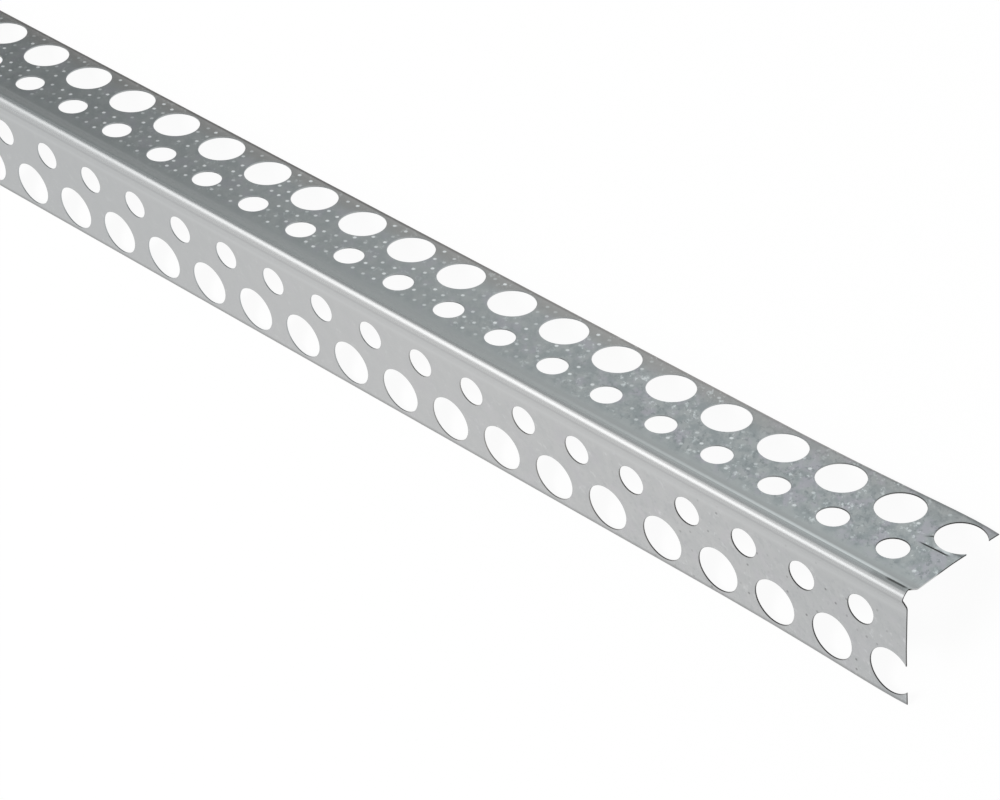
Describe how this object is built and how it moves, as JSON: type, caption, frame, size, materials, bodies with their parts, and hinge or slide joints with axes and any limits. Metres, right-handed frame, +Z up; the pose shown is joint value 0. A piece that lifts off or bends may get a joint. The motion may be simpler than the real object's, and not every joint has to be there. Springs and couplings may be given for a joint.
{
  "type": "plaster corner bead",
  "caption": "Perforated galvanised steel corner bead for plaster, with two wings of staggered round holes and a raised nose.",
  "frame": {"origin": "on the floor, midway along the bead and midway between its two free edges", "axes": "+X along the bead towards its sheared near end, +Z up through the nose, +Y across it"},
  "size_m": [2.5, 0.035, 0.0196],
  "materials": {
    "galvanised_steel": "hot-dip galvanised, satin grey with a fine spangle"
  },
  "bodies": {
    "root": {"corner_bead": "galvanised_steel"}
  },
  "joints": []
}
